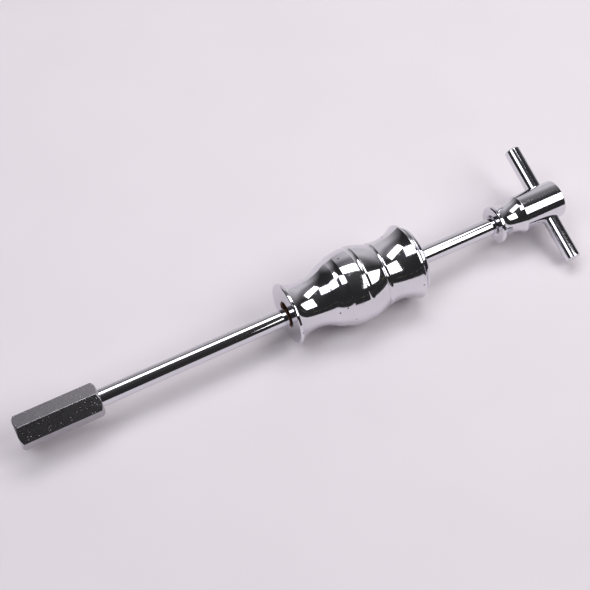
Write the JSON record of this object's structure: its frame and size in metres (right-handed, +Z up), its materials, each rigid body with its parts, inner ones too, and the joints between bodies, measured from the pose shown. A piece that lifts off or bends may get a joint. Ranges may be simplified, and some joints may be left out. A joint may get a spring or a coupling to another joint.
{
  "type": "slide hammer puller",
  "caption": "Slide hammer puller: a turned chrome hammer runs on a steel guide rod between a long hexagon coupling nut for the pulling tool and a T handle.",
  "frame": {"origin": "on the floor under the middle of the tool's length, in the vertical plane of the guide rod's axis", "axes": "+X along the guide rod from the coupling nut to the T handle, +Z up; the tool lies on the floor on its hammer, and the lower end of the cross bar points toward -Y and ends 7 mm above the floor"},
  "size_m": [0.537, 0.1178, 0.0712],
  "materials": {
    "chrome": "polished chrome plate on steel",
    "zinc_plate": "satin zinc plate on steel"
  },
  "bodies": {
    "shaft": {"guide_rod": "chrome", "coupling_nut": "zinc_plate", "handle_hub": "chrome", "cross_bar": "chrome"},
    "hammer": {"slide_hammer": "chrome"}
  },
  "joints": [
    {"name": "hammer_slide", "type": "slide", "parent": "shaft", "child": "hammer", "axis": [1, 0, 0], "range_m": [-0.1769, 0.0866]}
  ]
}
